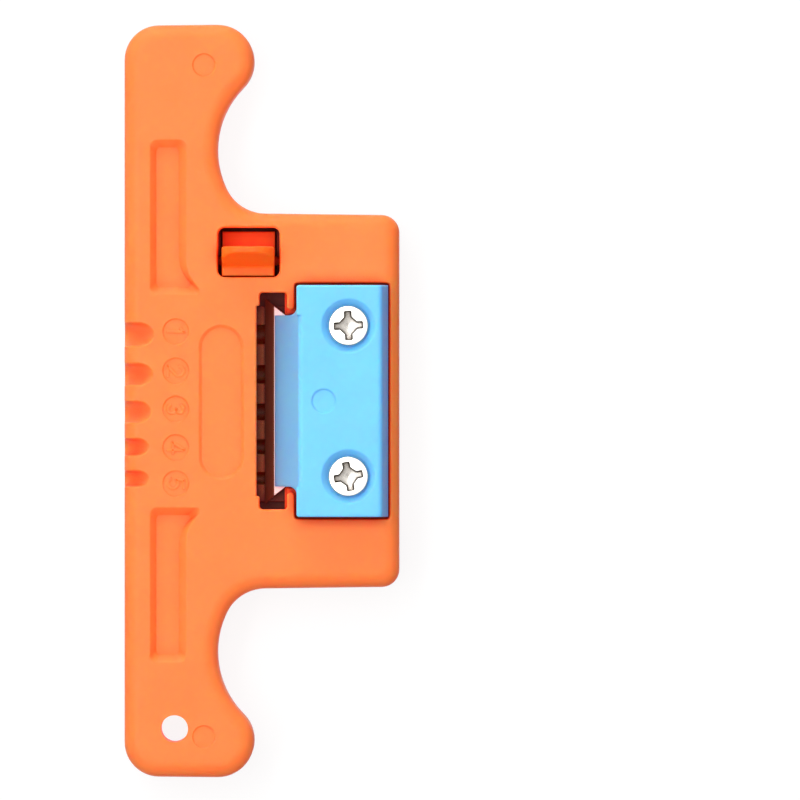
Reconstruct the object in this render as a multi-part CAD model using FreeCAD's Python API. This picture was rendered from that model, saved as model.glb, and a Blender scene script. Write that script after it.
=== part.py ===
import FreeCAD, Part

import os
from math import atan2, cos, pi, radians, sin, tan

V = FreeCAD.Vector

# Frame: millimetres, +Z up, origin under the middle of the tool on the surface it lies on.
# +Y runs along the tool towards the latch, -X is the long side where the tubes go in.

# Overall size and levels
LENGTH = 130.0
WIDTH = 47.5
TOP_Z = 16.6
HANDLE_Z = 4.9
PARTING_Z = 6.0
CHANNEL_Z = 8.2
RIM_RADIUS = 2.6
PLAY = 0.12
MERGE = 0.5

# Outline of the body, half of it: the other half is its mirror image
END_CORNER_RADIUS = 6.0
END_SLOPE = 0.15
NOSE_RADIUS = 6.3
NOSE_APEX = (7.31, LENGTH / 2 + 0.15)
FINGER_APEX = (-10.57, 46.58)
FINGER_RADIUS = 15.3
THROAT_APEX = (-4.22, 32.45)
THROAT_RADIUS = 7.5
BLOCK_Y = 32.1
BLOCK_CORNER_RADIUS = 3.1

# Cored undersides of the handles
CORE_WALL = 2.3
CORE_ROOF_Z = 13.2
CORE_START_Y = 38.0
RIB_THICKNESS = 1.6
RIB_START = 5.7
RIB_PITCH = 7.6
RIB_COUNT = 3

# Features of the top face
HANG_HOLE = (-15.1, -56.6)
HANG_RADIUS = 2.35
HANG_BOSS_RADIUS = 4.4
GATE_MARK = (-10.0, 58.0)
GATE_RADIUS = 2.05
GRIP_X = (-19.3, -13.1)
GRIP_Y = (18.4, 45.1)
GRIP_FLARE = (-10.1, 22.2)
GRIP_CORNER_RADIUS = 1.2
GRIP_TIP_RADIUS = 0.6
GRIP_BEND_RADIUS = 7.0
GRIP_FLOOR_X = (-18.25, -14.35)
GRIP_FLOOR_Y = (19.7, 43.8)
GRIP_FLOOR_FLARE = (-11.8, 22.8)
GRIP_FLOOR_RADIUS = 0.8
GRIP_FLOOR_TIP_RADIUS = 0.5
GRIP_FLOOR_BEND_RADIUS = 6.0
GRIP_DEPTH = 1.3
GRIP_EDGE_RADIUS = 0.35
PALM_RECESS = (-7.0, -0.2)
PALM_SIZE = (7.8, 26.7)
PALM_DEPTH = 0.4
PALM_DRAFT = 0.5
PALM_EDGE_RADIUS = 0.3
MARK_DEPTH = 0.2
MARK_DRAFT = 0.22
DISC_X = -14.85
DISC_Y = (11.94, 5.19, -1.42, -8.05, -14.28)
DISC_RADIUS = 2.35

# Tube grooves and their thumb scallops, one of each per tube size, largest first
GROOVE_Y = (11.5, 4.6, -1.9, -7.95, -13.4)
TUBE_DIAMETER = (3.1, 2.9, 2.6, 2.3, 1.9)
TUBE_PLAY = 0.15
MOUTH_FLARE = 0.4
MOUTH_DROP = 0.15
MOUTH_DEPTH = 1.3
SCALLOP_WIDTH = (3.93, 3.65, 3.65, 2.82, 2.65)
SCALLOP_X = (-18.6, -18.8, -19.1, -19.5, -19.5)
SCALLOP_DROP = (6.1, 5.8, 5.4, 4.9, 4.5)
SCALLOP_EDGE_RADIUS = 0.3
SCALLOP_OVERRUN = 6.0

# Hinge of the jaw, its axis along X
HINGE_Y = -26.9
HINGE_Z = 3.9
PIN_RADIUS = 1.0
PIN_HOLE_RADIUS = 1.01
JAW_BORE_RADIUS = 1.05
PIN_ENDS = (-22.4, 23.1)
PIN_CHAMFER = 0.3
PIN_END_PLAY = 0.1
BARREL_RADIUS = 3.3
BARREL_RAMP = 2.6
BARREL_GAP = 0.3
NECK_OVERLAP = 1.2
BARREL_SWING = 0.5
BARREL_HALF = 19.2
CHEEK_HALF = 19.5
CHEEK_Y = -23.8
CHEEK_Z = 2.0
CHEEK_CORNER_RADIUS = 1.2
CHEEK_END_Y = -35.2
CHEEK_RAMP = 2.4

# Jaw
JAW_RIGHT_X = 23.3
JAW_TAIL_Y = -23.35
JAW_LIP_Y = 33.6
JAW_LIP_FOOT_Y = 30.95
JAW_LIP_RADIUS = 3.6
JAW_LIP_BEND_X = (-8.5, 0.5)
JAW_END_Y = 31.4
JAW_TAIL_RADIUS = 0.3
JAW_TAIL_CHAMFER = 0.9
JAW_CORNER_RADIUS = 2.6
JAW_BEND_RADIUS = (4.0, 2.0)
JAW_TIP_RADIUS = 0.8
JAW_EDGE_RADIUS = 0.8
NAIL_NOTCH_Y = (34.5, 36.3)
NAIL_NOTCH_RADIUS = 1.2
TONGUE_Y = (-17.4, 16.35)
CHANNEL_Y = (-17.8, 16.8)
CHANNEL_RADIUS = 0.3
RELIEF_X = (-1.4, 4.4)
RELIEF_Z = 7.1
JAW_CORE_X = ((-20.9, -0.9), (0.9, 20.5))
JAW_CORE_Y = ((-20.4, -8.3), (-6.7, 5.0), (6.6, 18.2))
JAW_CORE_DEPTH = 2.4
JAW_CORE_RADIUS = 1.5

# Latch: window in the body, lever on a pin in the jaw, spring under the lever's heel
WINDOW_X = (-7.62, 3.06)
WINDOW_Y = (21.4, 30.0)
WINDOW_RADIUS = 1.2
WINDOW_EDGE_RADIUS = 0.35
LEVER_X = (-6.92, 2.16)
LEVER_BACK_Y = 26.65
LEVER_FRONT_Y = 21.65
LEVER_TOP_Z = 22.0
LEVER_TOP_RADIUS = 3.2
LEVER_EDGE_RADIUS = 0.35
LEVER_LEAN = 0.25
LEVER_WAIST_RADIUS = 1.0
SHELF_Z = 16.2
THUMB_TOP_Y = 25.55
THUMB_FOOT_Y = 23.3
THUMB_BEND_RADIUS = 0.8
CATCH_NOSE_Y = 20.9
CATCH_Z = (12.3, 13.8)
CATCH_WALL_Y = 20.6
CATCH_WALL_Z = (11.9, 14.6)
CATCH_FOOT_Y = 21.3
CATCH_GAP = 0.35
CATCH_SLOPE = 0.5
CATCH_RADIUS = 0.2
LATCH_Y = 24.3
LATCH_Z = 3.3
LATCH_PIN_RADIUS = 0.8
LATCH_BORE_RADIUS = 0.85
LATCH_BARREL_RADIUS = 1.9
LATCH_PIN_X = (-10.0, 5.2)
WELL_X = (-7.3, 2.55)
WELL_Y = (21.1, 30.2)
WELL_Z = 1.0
HEEL_Z = (3.9, 5.5)
HEEL_Y = 29.4
HEEL_RADIUS = 0.3
SADDLE_SNAP = 0.12
SPRING_AT = (-2.38, 28.0)
SPRING_RADIUS = 1.15
SPRING_WIRE = 0.22
SPRING_TURNS = 3.0
SPRING_SLACK = 0.08
SPRING_PEG_RADIUS = 0.78
SPRING_PEG_HEIGHT = 0.8

# Blade: edge line, tilt and ground bevel
EDGE_X = 0.47
EDGE_Z = 7.6
EDGE_HALF = 17.8
BLADE_TILT = 28.0
BLADE_THICKNESS = 0.6
BLADE_DEPTH = 12.0
BLADE_END_ANGLE = 34.5
BEVEL_ANGLE = 17.8
BLADE_HOLE_RADIUS = 1.0
PEG_RADIUS = 0.95
PEG_ALONG = 7.4
PEG_Y = 6.5
PEG_HEIGHT = 1.4
PEG_GAP = (0.1, 0.3)

# Cassette and its pocket
COVER_TOP_Z = 20.4
COVER_X = (6.0, 20.65, 21.8)
COVER_HALF = 20.0
CREASE_X = 6.5
NOSE_X = 2.15
NOSE_HALF = 14.8
SHOULDER_Z = 16.6
SEAT_Z = 13.9
COVER_EDGE_RADIUS = 0.3
COVER_BEND_RADIUS = 1.0
COVER_CORNER_RADIUS = 0.5
NOTCH_RADIUS = 1.3
COVER_MARK = (10.7, 0.0)
POCKET_GAP = 0.35
POCKET_RIGHT_X = 22.0
POCKET_CORNER_RADIUS = 0.5
POCKET_EDGE_RADIUS = 0.3
BED_FLOOR_Z = 9.2
BED_X = (4.14, 11.5)
BED_GAP = 0.3
BED_SLACK = 0.05
SLOT_X = -0.99
SLOT_HALF = 16.45
SLOT_STEP_RADIUS = 0.36
SLOT_CORNER_RADIUS = 0.15
END_POCKET_X = (-0.45, 4.35)
END_POCKET_HALF = 18.75
END_POCKET_RADIUS = 0.6
POST_TIP_Y = 15.8
POST_TIP_RADIUS = 0.6
LEDGE_X = 3.9

# Cassette screws and inserts
SCREW_X = 14.95
SCREW_Y = 13.0
SCREW_TURN = {"upper": 3.0, "lower": 11.0}
HEAD_RADIUS = 3.4
HEAD_EDGE = 0.95
HEAD_HEIGHT = 1.3
SHANK_RADIUS = 1.75
SCREW_LENGTH = 10.0
SCREW_TIP_CHAMFER = 0.5
DISH_RADIUS = 4.7
SPOT_RADIUS = 3.6
SPOT_DEPTH = 0.85
CROSS_SPAN = 4.8
CROSS_WIDTH = 1.0
CROSS_DEPTH = 1.3
COVER_HOLE_RADIUS = 1.95
INSERT_RADIUS = 2.4
INSERT_BORE = 1.8
INSERT_LENGTH = 4.7
INSERT_SINK = 0.1
INSERT_WAIST_DEPTH = 0.25

HALF_WIDTH = WIDTH / 2
FAR = 100.0


def on_plane(axis, level):
    """Function that puts a flat point (a, b) on the plane square to an axis, at a level along it."""
    if axis == "x":
        return lambda a, b: V(level, a, b)
    if axis == "y":
        return lambda a, b: V(a, level, b)
    return lambda a, b: V(a, b, level)


def rounded_wire(corners, point):
    """Closed wire through corners (a, b, radius), each corner turned into a tangent arc."""
    pieces = []
    count = len(corners)
    for i, (a, b, radius) in enumerate(corners):
        before = corners[i - 1]
        after = corners[(i + 1) % count]
        back = V(before[0] - a, before[1] - b, 0).normalize()
        ahead = V(after[0] - a, after[1] - b, 0).normalize()
        if radius == 0:
            pieces.append((V(a, b, 0), None, V(a, b, 0)))
            continue
        half = back.getAngle(ahead) / 2
        run = radius / tan(half)
        inward = (back + ahead).normalize()
        corner = V(a, b, 0)
        middle = corner + inward * (radius / sin(half) - radius)
        pieces.append((corner + back * run, middle, corner + ahead * run))
    edges = []
    for i, (start, middle, end) in enumerate(pieces):
        if middle is not None:
            ends = [point(p.x, p.y) for p in (start, middle, end)]
            edges.append(Part.Arc(*ends).toShape())
        following = pieces[(i + 1) % count][0]
        if end.distanceToPoint(following) > 1e-6:
            edges.append(Part.LineSegment(point(end.x, end.y), point(following.x, following.y)).toShape())
    return Part.Wire(edges)


def prism(corners, axis, low, high):
    """Solid of a rounded outline drawn square to an axis, from low to high along that axis."""
    face = Part.Face(rounded_wire(corners, on_plane(axis, low)))
    along = {"x": V(1, 0, 0), "y": V(0, 1, 0), "z": V(0, 0, 1)}[axis]
    return face.extrude(along * (high - low))


def box(x, y, z):
    """Box between (low, high) pairs."""
    return Part.makeBox(x[1] - x[0], y[1] - y[0], z[1] - z[0], V(x[0], y[0], z[0]))


def rectangle(a, b, radius=0.0):
    """Corners of a rectangle between (low, high) pairs, all with one radius."""
    return [(a[0], b[0], radius), (a[1], b[0], radius), (a[1], b[1], radius), (a[0], b[1], radius)]


def post(x, y, radius, low, high):
    """Upright cylinder."""
    return Part.makeCylinder(radius, high - low, V(x, y, low), V(0, 0, 1))


def rod(radius, ends, y, z):
    """Cylinder along X."""
    return Part.makeCylinder(radius, ends[1] - ends[0], V(ends[0], y, z), V(1, 0, 0))


def flipped(shape):
    """Mirror image in the plane Y = 0."""
    return shape.mirror(V(0, 0, 0), V(0, 1, 0))


def both_ends(shape):
    """A shape and its mirror image in the plane Y = 0."""
    return [shape, flipped(shape)]


def single(shape):
    """The one clean solid that a chain of cuts and joins leaves."""
    clean = shape.removeSplitter()
    solids = clean.Solids
    if len(solids) != 1 or not solids[0].isValid():
        raise ValueError("expected one valid solid, got %d" % len(solids))
    return solids[0]


def blade_point(along, above):
    """(X, Z) of a point that lies along the blade from its edge and above its lower face."""
    tilt = radians(BLADE_TILT)
    x = EDGE_X + along * cos(tilt) - above * sin(tilt)
    z = EDGE_Z + along * sin(tilt) + above * cos(tilt)
    return x, z


def blade_normal():
    """Unit vector square to the blade, upwards."""
    tilt = radians(BLADE_TILT)
    return V(-sin(tilt), 0, cos(tilt))


def soften(shape, x, y, low, radius):
    """Round the edges of one feature: those inside the (low, high) pairs x and y, above a level."""
    slack = 0.05
    edges = []
    for edge in shape.Edges:
        room = edge.BoundBox
        across = room.XMin > x[0] - slack and room.XMax < x[1] + slack
        along = room.YMin > y[0] - slack and room.YMax < y[1] + slack
        if across and along and room.ZMin > low:
            edges.append(edge)
    return shape.makeFillet(radius, edges)


def body_corners():
    """Outline of the body: hooked handle, finger hollow and block, then the mirror image."""
    half = [
        (-HALF_WIDTH, LENGTH / 2 - END_SLOPE, END_CORNER_RADIUS),
        (*NOSE_APEX, NOSE_RADIUS),
        (*FINGER_APEX, FINGER_RADIUS),
        (*THROAT_APEX, THROAT_RADIUS),
        (HALF_WIDTH, BLOCK_Y, BLOCK_CORNER_RADIUS),
    ]
    return half + [(x, -y, radius) for x, y, radius in reversed(half)]


def body_blank():
    """Full outline with a rounded top rim and the deeper housing over the hinge."""
    blank = prism(body_corners(), "z", HANDLE_Z, TOP_Z)
    rim = [edge for edge in blank.Edges if edge.BoundBox.ZMin > TOP_Z - 0.01]
    blank = blank.makeFillet(RIM_RADIUS, rim)
    housing_side = [
        (CHEEK_Y, HANDLE_Z + MERGE, 0),
        (CHEEK_Y, CHEEK_Z, CHEEK_CORNER_RADIUS),
        (CHEEK_END_Y + CHEEK_RAMP, CHEEK_Z, CHEEK_CORNER_RADIUS),
        (CHEEK_END_Y, HANDLE_Z, 0),
        (CHEEK_END_Y, HANDLE_Z + MERGE, 0),
    ]
    housing = prism(housing_side, "x", -HALF_WIDTH, HALF_WIDTH)
    return blank.fuse(housing.common(prism(body_corners(), "z", 0, TOP_Z - RIM_RADIUS)))


def jaw_recess():
    """Space under the block for the jaw: low ceiling, raised channel for the tongue, nail notch."""
    side = [
        (CHEEK_Y, -1, 0),
        (CHEEK_Y, PARTING_Z, 0),
        (CHANNEL_Y[0], PARTING_Z, 0),
        (CHANNEL_Y[0], CHANNEL_Z, CHANNEL_RADIUS),
        (CHANNEL_Y[1], CHANNEL_Z, CHANNEL_RADIUS),
        (CHANNEL_Y[1], PARTING_Z, 0),
        (NAIL_NOTCH_Y[0], PARTING_Z, CHANNEL_RADIUS),
        (NAIL_NOTCH_Y[1], HANDLE_Z, NAIL_NOTCH_RADIUS),
        (FAR, HANDLE_Z, 0),
        (FAR, -1, 0),
    ]
    return prism(side, "x", -FAR, FAR)


def barrel_space():
    """Room for the jaw's hinge barrel between the cheeks."""
    reach = BARREL_RADIUS + BARREL_GAP
    ends = (-CHEEK_HALF, CHEEK_HALF)
    below = box(ends, (HINGE_Y - reach - BARREL_SWING, CHEEK_Y), (-1, HINGE_Z))
    ahead = box(ends, (HINGE_Y, CHEEK_Y), (-1, PARTING_Z))
    return rod(reach, ends, HINGE_Y, HINGE_Z).fuse([below, ahead])


def pin_holes():
    """Blind hole in the front cheek and open hole in the back cheek."""
    return rod(PIN_HOLE_RADIUS, (PIN_ENDS[0] - PIN_END_PLAY, HALF_WIDTH + 1), HINGE_Y, HINGE_Z)


def handle_core():
    """Ribbed hollow in the underside of the handle at the +Y end."""
    outline = rounded_wire(body_corners(), on_plane("z", HANDLE_Z - 1))
    inner = outline.makeOffset2D(-CORE_WALL)
    hollow = Part.Face(inner).extrude(V(0, 0, CORE_ROOF_Z - HANDLE_Z + 1))
    hollow = hollow.common(box((-FAR, FAR), (CORE_START_Y, FAR), (0, TOP_Z)))
    ribs = []
    for i in range(RIB_COUNT):
        y = CORE_START_Y + RIB_START + RIB_PITCH * i
        ribs.append(box((-FAR, FAR), (y - RIB_THICKNESS / 2, y + RIB_THICKNESS / 2), (0, TOP_Z)))
    return hollow.cut(ribs)


def grip_recess():
    """Sunk grip panel with sloped walls, its inner end flared towards the block."""
    outer = [
        (GRIP_X[0], GRIP_Y[1], GRIP_CORNER_RADIUS),
        (GRIP_X[1], GRIP_Y[1], GRIP_CORNER_RADIUS),
        (GRIP_X[1], GRIP_FLARE[1], GRIP_BEND_RADIUS),
        (GRIP_FLARE[0], GRIP_Y[0], GRIP_TIP_RADIUS),
        (GRIP_X[0], GRIP_Y[0], GRIP_CORNER_RADIUS),
    ]
    floor = [
        (GRIP_FLOOR_X[0], GRIP_FLOOR_Y[1], GRIP_FLOOR_RADIUS),
        (GRIP_FLOOR_X[1], GRIP_FLOOR_Y[1], GRIP_FLOOR_RADIUS),
        (GRIP_FLOOR_X[1], GRIP_FLOOR_FLARE[1], GRIP_FLOOR_BEND_RADIUS),
        (GRIP_FLOOR_FLARE[0], GRIP_FLOOR_Y[0], GRIP_FLOOR_TIP_RADIUS),
        (GRIP_FLOOR_X[0], GRIP_FLOOR_Y[0], GRIP_FLOOR_RADIUS),
    ]
    top = rounded_wire(outer, on_plane("z", TOP_Z))
    bottom = rounded_wire(floor, on_plane("z", TOP_Z - GRIP_DEPTH))
    return Part.makeLoft([top, bottom], True, True)


def scallop(index):
    """Round-bottomed scoop that slopes from the top face down the long side, over one groove."""
    radius = SCALLOP_WIDTH[index] / 2
    start = V(SCALLOP_X[index], GROOVE_Y[index], TOP_Z)
    end = V(-HALF_WIDTH, GROOVE_Y[index], TOP_Z - SCALLOP_DROP[index])
    along = (end - start).normalize()
    outward = V(along.z, 0, -along.x)
    tail = start - along * SCALLOP_OVERRUN + outward * radius
    length = (end - start).Length + 2 * SCALLOP_OVERRUN
    scoop = Part.makeCylinder(radius, length, tail, along)
    side = tail - V(0, radius, 0)
    wall = Part.Face(Part.makePolygon([
        side,
        side + along * length,
        side + along * length + outward * SCALLOP_OVERRUN,
        side + outward * SCALLOP_OVERRUN,
        side,
    ]))
    return scoop.fuse(wall.extrude(V(0, 2 * radius, 0)))


def sunk_disc(x, y, radius):
    """Shallow round mark whose wall leans inwards."""
    low, high = radius - MARK_DRAFT, radius + MARK_DRAFT
    return Part.makeCone(low, high, 2 * MARK_DEPTH, V(x, y, TOP_Z - MARK_DEPTH), V(0, 0, 1))


def palm_recess():
    """Long shallow recess with round ends and a leaning wall."""
    x, y = PALM_RECESS
    rings = []
    for way in (-1, 1):
        wide = PALM_SIZE[0] / 2 + way * PALM_DRAFT
        long = PALM_SIZE[1] / 2 + way * PALM_DRAFT
        corners = rectangle((x - wide, x + wide), (y - long, y + long), wide - 0.01)
        rings.append(rounded_wire(corners, on_plane("z", TOP_Z + way * PALM_DEPTH)))
    return Part.makeLoft(rings, True, True)


def top_marks():
    """Shallow marks in the top face: gate discs, long palm recess and the size discs."""
    discs = [sunk_disc(DISC_X, y, DISC_RADIUS) for y in DISC_Y]
    return [palm_recess(), *discs, *both_ends(sunk_disc(*GATE_MARK, GATE_RADIUS))]


def latch_window():
    """Window for the latch, with the catch in its wall: the catch's lower face follows the jaw's swing."""
    opening = prism(rectangle(WINDOW_X, WINDOW_Y, WINDOW_RADIUS), "z", 0, TOP_Z + 1)
    catch_side = [
        (WINDOW_Y[0] + 1, CATCH_WALL_Z[1], 0),
        (CATCH_WALL_Y, CATCH_WALL_Z[1], CATCH_RADIUS),
        (CATCH_WALL_Y, CATCH_WALL_Z[0], CATCH_RADIUS),
        (CATCH_FOOT_Y, PARTING_Z, 0),
        (CATCH_FOOT_Y, 0, 0),
        (WINDOW_Y[0] + 1, 0, 0),
    ]
    catch = prism(catch_side, "x", LEVER_X[0] - CATCH_GAP, LEVER_X[1] + CATCH_GAP)
    return opening.fuse(catch)


def pocket_corners():
    """Outline of the cassette's pocket: seat, posts beside the nose, end pockets and the long slot."""
    left = COVER_X[0] - POCKET_GAP
    half = [
        (POCKET_RIGHT_X, COVER_HALF + POCKET_GAP, POCKET_CORNER_RADIUS),
        (left, COVER_HALF + POCKET_GAP, POCKET_CORNER_RADIUS),
        (left, POST_TIP_Y, POST_TIP_RADIUS),
        (END_POCKET_X[1], POST_TIP_Y, POST_TIP_RADIUS),
        (END_POCKET_X[1], END_POCKET_HALF, END_POCKET_RADIUS),
        (END_POCKET_X[0], END_POCKET_HALF, END_POCKET_RADIUS),
        (END_POCKET_X[0], SLOT_HALF, SLOT_STEP_RADIUS),
        (SLOT_X, SLOT_HALF, SLOT_CORNER_RADIUS),
    ]
    return half + [(x, -y, radius) for x, y, radius in reversed(half)]


def cassette_pocket(body):
    """Cut the seat of the cassette with a rounded rim, then the deep ends and the slot for the shaving."""
    edge = COVER_HALF + POCKET_GAP
    body = body.cut(prism(pocket_corners(), "z", SEAT_Z, TOP_Z + 5))
    body = soften(body, (SLOT_X, POCKET_RIGHT_X), (-edge, edge), SEAT_Z + 0.5, POCKET_EDGE_RADIUS)
    ends = prism(pocket_corners(), "z", BED_FLOOR_Z, SEAT_Z)
    ends = ends.common(box((SLOT_X - 1, END_POCKET_X[1] + 0.01), (-edge, edge), (0, SEAT_Z)))
    slot = prism(pocket_corners(), "z", 0, SEAT_Z)
    slot = slot.common(box((SLOT_X - 1, LEDGE_X), (-edge, edge), (0, SEAT_Z)))
    bed_half = NOSE_HALF + BED_GAP
    bed = box((LEDGE_X, BED_X[1] + PLAY), (-bed_half, bed_half), (BED_FLOOR_Z, SEAT_Z))
    return body.cut([ends, slot, bed])


def soft_rims(body):
    """Round the rims that lie in the top face: grips, palm recess, latch window and scallops."""
    level = TOP_Z - 0.01
    grip_x = (GRIP_X[0], GRIP_FLARE[0])
    body = soften(body, grip_x, GRIP_Y, level, GRIP_EDGE_RADIUS)
    body = soften(body, grip_x, (-GRIP_Y[1], -GRIP_Y[0]), level, GRIP_EDGE_RADIUS)
    palm_x = (PALM_RECESS[0] - PALM_SIZE[0] / 2, PALM_RECESS[0] + PALM_SIZE[0] / 2)
    palm_y = (PALM_RECESS[1] - PALM_SIZE[1] / 2, PALM_RECESS[1] + PALM_SIZE[1] / 2)
    body = soften(body, palm_x, palm_y, level, PALM_EDGE_RADIUS)
    body = soften(body, WINDOW_X, WINDOW_Y, level, WINDOW_EDGE_RADIUS)
    for i, y in enumerate(GROOVE_Y):
        reach = SCALLOP_WIDTH[i] / 2
        body = soften(body, (-HALF_WIDTH, SCALLOP_X[i]), (y - reach, y + reach), level, SCALLOP_EDGE_RADIUS)
    return body


def upper_body():
    """Moulded body with its two hooked handles."""
    body = body_blank().cut([jaw_recess(), barrel_space(), pin_holes()])
    boss = post(*HANG_HOLE, HANG_BOSS_RADIUS, 0, TOP_Z)
    upper_core = handle_core()
    body = body.cut([upper_core, flipped(upper_core).cut(boss)])
    body = body.cut(post(*HANG_HOLE, HANG_RADIUS, 0, TOP_Z + 1))
    body = cassette_pocket(body)
    body = body.cut(both_ends(grip_recess()))
    body = body.cut([scallop(i) for i in range(len(GROOVE_Y))])
    body = body.cut(top_marks())
    body = soft_rims(body.cut(latch_window()))
    for y in (SCREW_Y, -SCREW_Y):
        floor = SEAT_Z - INSERT_LENGTH - 2 * INSERT_SINK
        body = body.cut(post(SCREW_X, y, INSERT_RADIUS, floor, SEAT_Z + 1))
    return single(body)


def jaw_plate():
    """Plate of the jaw: full width at the lip under the handle, set back under the block."""
    outline = [
        (-HALF_WIDTH, JAW_TAIL_Y, JAW_TAIL_RADIUS),
        (JAW_RIGHT_X, JAW_TAIL_Y, JAW_TAIL_RADIUS),
        (JAW_RIGHT_X, JAW_END_Y, JAW_CORNER_RADIUS),
        (JAW_LIP_BEND_X[1], JAW_END_Y, JAW_BEND_RADIUS[0]),
        (JAW_LIP_BEND_X[0], JAW_LIP_Y, JAW_BEND_RADIUS[1]),
        (-HALF_WIDTH, JAW_LIP_Y, JAW_TIP_RADIUS),
    ]
    side = [
        (JAW_TAIL_Y - 1, JAW_TAIL_CHAMFER + 1, 0),
        (JAW_TAIL_Y + JAW_TAIL_CHAMFER, 0, 0),
        (JAW_LIP_FOOT_Y, 0, JAW_LIP_RADIUS),
        (JAW_LIP_Y, PARTING_Z - PLAY, 0),
        (JAW_TAIL_Y - 1, PARTING_Z - PLAY, 0),
    ]
    section = [
        (-HALF_WIDTH, 0, JAW_EDGE_RADIUS),
        (JAW_RIGHT_X, 0, JAW_EDGE_RADIUS),
        (JAW_RIGHT_X, PARTING_Z - PLAY, 0),
        (-HALF_WIDTH, PARTING_Z - PLAY, 0),
    ]
    plate = prism(outline, "z", 0, PARTING_Z - PLAY).common(prism(side, "x", -FAR, FAR))
    return plate.common(prism(section, "y", -FAR, FAR))


def groove_section(index, spread=0.0, drop=0.0):
    """Corners (y, z) of one groove's U shape, wider and deeper by a spread and a drop."""
    y = GROOVE_Y[index]
    half = TUBE_DIAMETER[index] / 2 + TUBE_PLAY + spread
    floor = CHANNEL_Z - PLAY - TUBE_DIAMETER[index] - TUBE_PLAY - drop
    bend = half - 0.01
    return [
        (y - half, CHANNEL_Z + 1, 0),
        (y - half, floor, bend),
        (y + half, floor, bend),
        (y + half, CHANNEL_Z + 1, 0),
    ]


def groove(index):
    """U-shaped groove for one tube size across the jaw, with flared mouths."""
    run = prism(groove_section(index), "x", -HALF_WIDTH - 1, HALF_WIDTH + 1)
    mouths = []
    for x, way in ((-HALF_WIDTH, 1), (JAW_RIGHT_X, -1)):
        outer = rounded_wire(groove_section(index, MOUTH_FLARE, MOUTH_DROP), on_plane("x", x))
        inner = rounded_wire(groove_section(index), on_plane("x", x + way * MOUTH_DEPTH))
        mouths.append(Part.makeLoft([outer, inner], True, True))
    return run.fuse(mouths)


def jaw_cores():
    """Shallow cores in the underside, a grid with ribs between them."""
    return [
        prism(rectangle(x, y, JAW_CORE_RADIUS), "z", -1, JAW_CORE_DEPTH)
        for x in JAW_CORE_X
        for y in JAW_CORE_Y
    ]


def latch_well():
    """Well in the jaw for the foot of the latch, with open saddles for its pin and a peg for the spring."""
    top = CHANNEL_Z + 1
    well = box(WELL_X, WELL_Y, (WELL_Z, top))
    peg = post(*SPRING_AT, SPRING_PEG_RADIUS, 0, WELL_Z + SPRING_PEG_HEIGHT)
    saddle = rod(LATCH_PIN_RADIUS, LATCH_PIN_X, LATCH_Y, LATCH_Z)
    neck = LATCH_PIN_RADIUS - SADDLE_SNAP
    mouth = box(LATCH_PIN_X, (LATCH_Y - neck, LATCH_Y + neck), (LATCH_Z, top))
    return well.cut(peg).fuse([saddle, mouth])


def lower_jaw():
    """Hinged jaw with the raised, grooved tongue that the tubes lie in."""
    tongue = box((-HALF_WIDTH, JAW_RIGHT_X), TONGUE_Y, (PARTING_Z - 1, CHANNEL_Z - PLAY))
    ends = (-BARREL_HALF, BARREL_HALF)
    neck_side = [
        (HINGE_Y, HINGE_Z - BARREL_RADIUS, 0),
        (HINGE_Y + BARREL_RAMP, 0, 0),
        (JAW_TAIL_Y + NECK_OVERLAP, 0, 0),
        (JAW_TAIL_Y + NECK_OVERLAP, PARTING_Z - PLAY, 0),
        (HINGE_Y, PARTING_Z - PLAY, 0),
    ]
    neck = prism(neck_side, "x", *ends)
    barrel = rod(BARREL_RADIUS, ends, HINGE_Y, HINGE_Z)
    jaw = jaw_plate().fuse([tongue, neck, barrel])
    jaw = jaw.cut(rod(JAW_BORE_RADIUS, (-FAR, FAR), HINGE_Y, HINGE_Z))
    jaw = jaw.cut([groove(i) for i in range(len(GROOVE_Y))])
    jaw = jaw.cut(box(RELIEF_X, (-FAR, FAR), (RELIEF_Z, CHANNEL_Z + 1)))
    return single(jaw.cut([latch_well(), *jaw_cores()]))


def hinge_pin():
    """Steel pin with chamfered ends."""
    pin = rod(PIN_RADIUS, PIN_ENDS, HINGE_Y, HINGE_Z)
    rims = [edge for edge in pin.Edges if edge.Length < 2 * pi * PIN_RADIUS + 0.1]
    return single(pin.makeChamfer(PIN_CHAMFER, rims))


def lever_arm():
    """Upright arm of the latch: round-topped thumb tab with a sloped front, shelf and catch nose."""
    side = [
        (LEVER_BACK_Y - LEVER_LEAN, HEEL_Z[0], 0),
        (LEVER_BACK_Y, LEVER_TOP_Z, 0),
        (THUMB_TOP_Y, LEVER_TOP_Z, 0),
        (THUMB_FOOT_Y, SHELF_Z, THUMB_BEND_RADIUS),
        (LEVER_FRONT_Y, SHELF_Z, 0),
        (LEVER_FRONT_Y, CATCH_Z[1] + CATCH_SLOPE, CATCH_RADIUS),
        (CATCH_NOSE_Y, CATCH_Z[1], CATCH_RADIUS),
        (CATCH_NOSE_Y, CATCH_Z[0], CATCH_RADIUS),
        (LEVER_FRONT_Y + PLAY, PARTING_Z + PLAY, LEVER_WAIST_RADIUS),
        (LATCH_Y - LATCH_BARREL_RADIUS + PLAY, LATCH_Z, 0),
        (LATCH_Y + LATCH_BARREL_RADIUS - PLAY, LATCH_Z, 0),
    ]
    front = [
        (LEVER_X[0], 0, 0),
        (LEVER_X[1], 0, 0),
        (LEVER_X[1], LEVER_TOP_Z, LEVER_TOP_RADIUS),
        (LEVER_X[0], LEVER_TOP_Z, LEVER_TOP_RADIUS),
    ]
    arm = single(prism(side, "x", *LEVER_X).common(prism(front, "y", 0, FAR)))
    crest = [
        edge
        for edge in arm.Edges
        if edge.BoundBox.ZMin > SHELF_Z + PLAY and edge.BoundBox.XLength > 0.01
    ]
    return arm.makeFillet(LEVER_EDGE_RADIUS, crest)


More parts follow.
